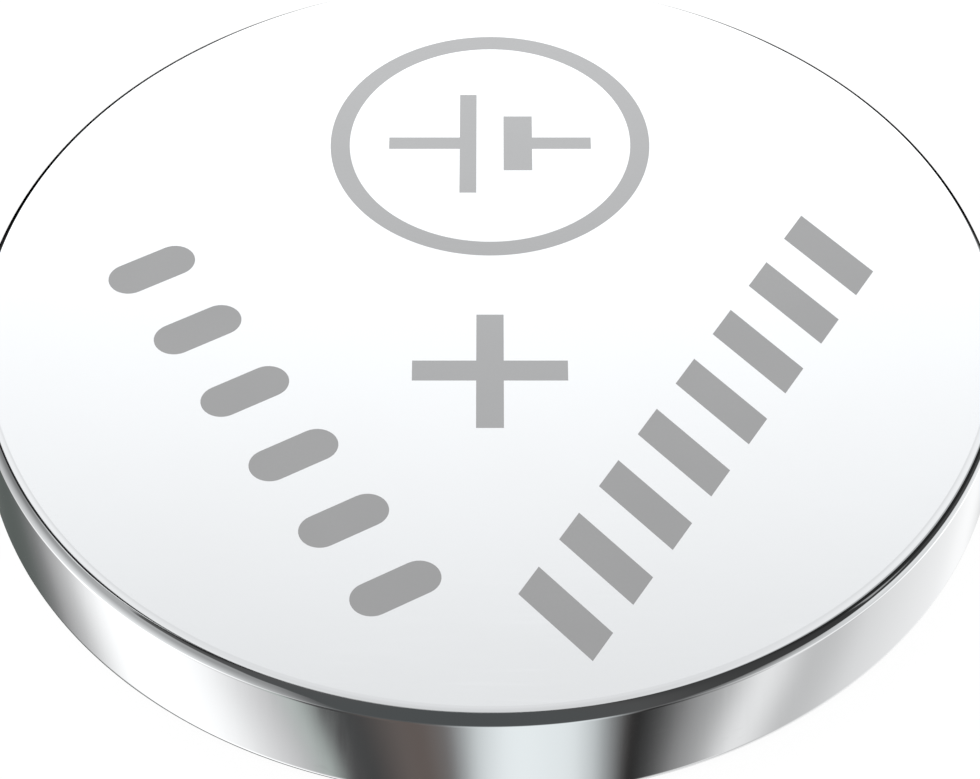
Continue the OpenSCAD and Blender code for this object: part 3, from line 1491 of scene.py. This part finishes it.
    def leaned(self, graph: Graph, way: Way) -> bpy.types.NodeSocket:
        """Make the table's cards lean, as cards that stand near by do.

        Args:
            graph: The world's nodes.
            way: The direction.

        Returns:
            The azimuth at which the table is read.
        """
        square = graph.math("MULTIPLY", way.azimuth, way.azimuth)
        seen = graph.math("MULTIPLY_ADD", square, self.seen_curve, self.seen_low)
        over = graph.math("MINIMUM", graph.math("SUBTRACT", way.height, seen), self.lean_limits[1])
        over = graph.math("MAXIMUM", over, self.lean_limits[0])
        lean = graph.scale(way.azimuth, -self.lean, 0.0, *self.left_lean)
        lean = graph.math("ADD", lean, graph.scale(way.azimuth, 0.0, self.lean, *self.right_lean))
        return graph.math("SUBTRACT", way.azimuth, graph.math("MULTIPLY", over, lean))

    def colour(self, graph: Graph, way: Way) -> bpy.types.NodeSocket:
        """Work out the room.

        Args:
            graph: The world's nodes.
            way: The direction.

        Returns:
            The colour in that direction.
        """
        low = self.belt(graph, way.azimuth, self.low)
        middle = self.belt(graph, way.azimuth, self.middle)
        cards = graph.blend(graph.scale(way.height, 0.0, 1.0, *self.card_heights), low, middle)
        above = graph.ease(self.over_skyline(graph, way), *self.skyline_blur)
        room = graph.blend(above, cards, self.belt(graph, way.azimuth, self.dark))
        table = self.belt(graph, self.leaned(graph, way), self.table)
        table = graph.blend(graph.ease(way.height, *self.foot), grey(self.foot_level), table)
        aside = graph.math("ABSOLUTE", way.azimuth)
        height = graph.math("ADD", way.height, graph.scale(aside, 0.0, self.table_drop, *self.drop_from))
        return graph.blend(graph.ease(height, *self.table_edge), table, room)


@dataclass(frozen=True)
class Trims:
    """What hangs under the dome's edge: a dark frame at both sides, a bright strip and a small card.

    The frame and the strip run along the edge, and their ends are azimuths. The card hangs to the right.
    """

    frame_level: float = 0.045
    frame_edge: Span = (0.49, 0.53)
    frame_sides: Stretch = Stretch((60, 76), (124, 130))
    frame_lift: float = 0.08
    frame_lifted: Span = (-75, -60)
    strip_level: float = 2.0
    strip: Stretch = Stretch((0.505, 0.535), (0.585, 0.615))
    strip_sides: Stretch = Stretch((-110, -90), (-86, -81))
    strip_lift: float = 0.15
    strip_lifted: Span = (-93, -82)
    card_level: float = 0.74
    card_foot: Span = (14, 17)
    card_side: Span = (75, 77.5)
    card_slope: float = 1.3
    card_far: Span = (127, 133)

    def over(self, graph: Graph, way: Way, room: Value) -> bpy.types.NodeSocket:
        """Hang the trims in front of the room.

        Args:
            graph: The world's nodes.
            way: The direction.
            room: The room's colour.

        Returns:
            The colour in that direction.
        """
        lift = graph.scale(way.azimuth, self.frame_lift, 0.0, *self.frame_lifted)
        frame = graph.ease(graph.math("SUBTRACT", way.nearness, lift), *self.frame_edge)
        sides = self.frame_sides.mask(graph, graph.math("ABSOLUTE", way.azimuth))
        room = graph.blend(graph.math("MULTIPLY", frame, sides), room, grey(self.frame_level))
        lift = graph.scale(way.azimuth, 0.0, self.strip_lift, *self.strip_lifted)
        strip = self.strip.mask(graph, graph.math("SUBTRACT", way.nearness, lift))
        sides = self.strip_sides.mask(graph, way.azimuth)
        room = graph.blend(graph.math("MULTIPLY", strip, sides), room, grey(self.strip_level))
        slope = graph.math("MULTIPLY_ADD", way.azimuth, self.card_slope, way.height)
        far = graph.ease(slope, *self.card_far)
        card = graph.math("SUBTRACT", graph.ease(way.height, *self.card_foot), far)
        card = graph.math("MAXIMUM", card, 0.0)
        card = graph.math("MULTIPLY", card, graph.ease(way.azimuth, *self.card_side))
        return graph.blend(card, room, grey(self.card_level))


@dataclass(frozen=True)
class Dome:
    """The white dome, which leans away from the camera, and the white wall behind the cell.

    Its levels run from straight above to straight away from the camera, and it glows more at its sides.
    """

    elevation: float = 60.0
    widened: float = 0.12
    aside: float = 0.074
    edge: Span = (0.735, 0.765)
    edge_lift: float = 0.03
    lifted_from: Span = (-120, -105)
    lifted_to: Span = (-70, 100)
    cast: Colour = (0.99, 1.0, 1.01)
    levels: tuple[Span, ...] = (
        (0.0, 0.72), (0.20, 0.745), (0.42, 0.83), (0.63, 0.82), (0.642, 0.94), (0.655, 1.07), (0.68, 1.17),
        (0.707, 1.31), (0.75, 1.75), (1.0, 1.75),
    )
    side_glow: float = 0.22
    side_reach: Span = (0.12, 0.5)
    wall_foot: Span = (3, 11)
    wall_sides: Span = (138, 146)
    wall_slope: float = 6.0
    wall_drop: float = 50.0
    wall_dropped: Span = (166, 178)

    def way(self, graph: Graph) -> Way:
        """Take a ray's direction apart.

        Args:
            graph: The world's nodes.

        Returns:
            The direction's measures.
        """
        straight = graph.node("TexCoord").outputs["Generated"]
        x, y, z = graph.node("SeparateXYZ", {0: straight}).outputs
        azimuth = graph.math("ARCTAN2", x, graph.math("MULTIPLY", y, -1.0))
        azimuth = graph.math("MULTIPLY", azimuth, 180 / math.pi)
        height = graph.math("MULTIPLY", graph.math("ARCSINE", z), 180 / math.pi)
        turn = math.radians(self.elevation)
        aim = {0: straight, 1: (0, math.cos(turn), math.sin(turn))}
        nearness = graph.node("VectorMath", aim, operation="DOT_PRODUCT").outputs["Value"]
        nearness = graph.math("MULTIPLY_ADD", graph.math("ABSOLUTE", x), self.widened, nearness)
        nearness = graph.math("MULTIPLY_ADD", x, self.aside, nearness)
        return Way(x, y, azimuth, height, nearness)

    def wall(self, graph: Graph, way: Way) -> bpy.types.NodeSocket:
        """Tell where the wall behind the cell is.

        Args:
            graph: The world's nodes.
            way: The direction.

        Returns:
            1 on the wall, 0 elsewhere.
        """
        across = graph.math("ABSOLUTE", way.azimuth)
        drop = graph.scale(across, 0.0, self.wall_drop, *self.wall_dropped)
        drop = graph.math("MULTIPLY_ADD", way.x, self.wall_slope, drop)
        wall = graph.ease(graph.math("ADD", way.height, drop), *self.wall_foot)
        return graph.math("MULTIPLY", wall, graph.ease(across, *self.wall_sides))

    def shell(self, graph: Graph, way: Way) -> bpy.types.NodeSocket:
        """Tell where the dome is.

        Args:
            graph: The world's nodes.
            way: The direction.

        Returns:
            1 on the dome, 0 elsewhere.
        """
        lift = graph.math("SUBTRACT", graph.scale(way.azimuth, 0.0, self.edge_lift, *self.lifted_from),
                          graph.scale(way.azimuth, 0.0, self.edge_lift, *self.lifted_to))
        return graph.ease(graph.math("SUBTRACT", way.nearness, lift), *self.edge)

    def colour(self, graph: Graph, way: Way) -> bpy.types.NodeSocket:
        """Work out how bright the dome is: brightest low down at the back, less in the middle.

        Args:
            graph: The world's nodes.
            way: The direction.

        Returns:
            The colour in that direction.
        """
        levels = [(place, tuple(level * part for part in self.cast)) for place, level in self.levels]
        glow = graph.ease(graph.math("ABSOLUTE", way.x), *self.side_reach)
        glow = graph.math("MULTIPLY", glow, self.side_glow)
        sky = graph.ramp(way.y, levels, "LINEAR")
        return graph.node("VectorMath", {0: sky, 1: glow}, operation="ADD").outputs[0]

    def over(self, graph: Graph, way: Way, room: Value) -> bpy.types.NodeSocket:
        """Set the dome and the wall over the room.

        Args:
            graph: The world's nodes.
            way: The direction.
            room: The room's colour.

        Returns:
            The colour in that direction.
        """
        white = graph.math("MAXIMUM", self.shell(graph, way), self.wall(graph, way))
        return graph.blend(white, room, self.colour(graph, way))


@dataclass(frozen=True)
class Studio:
    """The plain studio round the cell: a white dome over it, dark on the camera's side, cards low down.

    Only glossy rays see it. Every other ray meets plain white of strength 1.
    """

    dome: Dome = Dome()
    room: Room = Room()
    trims: Trims = Trims()
    plain: float = 1.0

    def build(self) -> None:
        """Build the world."""
        world = bpy.data.worlds.new("studio")
        world.use_nodes = True
        world.cycles.sampling_method = "NONE"
        bpy.context.scene.world = world
        graph = Graph(world.node_tree)
        way = self.dome.way(graph)
        room = self.trims.over(graph, way, self.room.colour(graph, way))
        seen = self.dome.over(graph, way, room)
        glossy = graph.node("LightPath").outputs["Is Glossy Ray"]
        colour = graph.blend(glossy, grey(self.plain), seen)
        background = graph.node("Background", {"Color": colour, "Strength": 1.0})
        graph.node("OutputWorld", {"Surface": background.outputs[0]})


@dataclass(frozen=True)
class Floor:
    """The pale surface that the cell lies on. Only the camera sees it, and only from above."""

    radius: float = 100 * MM
    steps: int = 96
    tone: float = 0.14
    lift: float = 0.90

    def build(self) -> None:
        """Build the floor and its material."""
        mesh = bpy.data.meshes.new("floor")
        rim = circle_outline((0, 0), self.radius, self.steps)
        mesh.from_pydata([(x, y, 0) for x, y in rim], [], [list(range(len(rim)))])
        floor = bpy.data.objects.new("floor", mesh)
        bpy.context.scene.collection.objects.link(floor)
        floor.visible_diffuse = False
        floor.visible_glossy = False
        floor.visible_transmission = False
        floor.visible_shadow = False
        mesh.materials.append(self.material())

    def material(self) -> bpy.types.Material:
        """Build a white surface with the cell's soft shadow, which can be seen through from below.

        Returns:
            The material.
        """
        made = bpy.data.materials.new("studio_floor")
        made.use_nodes = True
        graph = Graph(made.node_tree)
        diffuse = graph.node("BsdfDiffuse", {"Color": (*grey(self.tone), 1)}).outputs[0]
        glow = graph.node("Emission", {"Color": (1, 1, 1, 1), "Strength": self.lift}).outputs[0]
        lit = graph.node("AddShader", {0: diffuse, 1: glow}).outputs[0]
        clear = graph.node("BsdfTransparent").outputs[0]
        behind = graph.node("NewGeometry").outputs["Backfacing"]
        shown = graph.node("MixShader", {0: behind, 1: lit, 2: clear}).outputs[0]
        graph.node("OutputMaterial", {"Surface": shown})
        return made


@dataclass(frozen=True)
class Camera:
    """The photograph's camera, in front of the cell and above it, aimed at a spot on the plus face."""

    aim_y: float = -2.0 * MM
    elevation: float = 46.815
    distance: float = 74.10 * MM
    lens: float = 142.35
    sensor: float = 36.0
    clip: Span = (1 * MM, 10.0)

    def build(self, top: float) -> None:
        """Build the camera.

        Args:
            top: Height of the plus face.
        """
        data = bpy.data.cameras.new("camera")
        data.lens = self.lens
        data.sensor_width = self.sensor
        data.clip_start, data.clip_end = self.clip
        camera = bpy.data.objects.new("camera", data)
        bpy.context.scene.collection.objects.link(camera)
        turn = math.radians(self.elevation)
        back = Vector((0, -math.cos(turn), math.sin(turn)))
        camera.location = Vector((0, self.aim_y, top)) + back * self.distance
        camera.rotation_euler = (math.pi / 2 - turn, 0, 0)
        bpy.context.scene.camera = camera


def main() -> None:
    """Build the camera, the cell and the studio, in order."""
    logging.basicConfig(level=logging.INFO, format="%(name)s: %(message)s")
    bpy.context.scene.view_settings.view_transform = "Standard"
    can = PositiveCan()
    cap = NegativeCap()
    gasket = SealingGasket(can, cap)
    Camera().build(can.top)
    can.dress(can.build())
    cap.dress(cap.build())
    gasket.dress(gasket.build())
    InnerStack().dress(frame["nodes"])
    Studio().build()
    Floor().build()


if __name__ == "__main__":
    main()
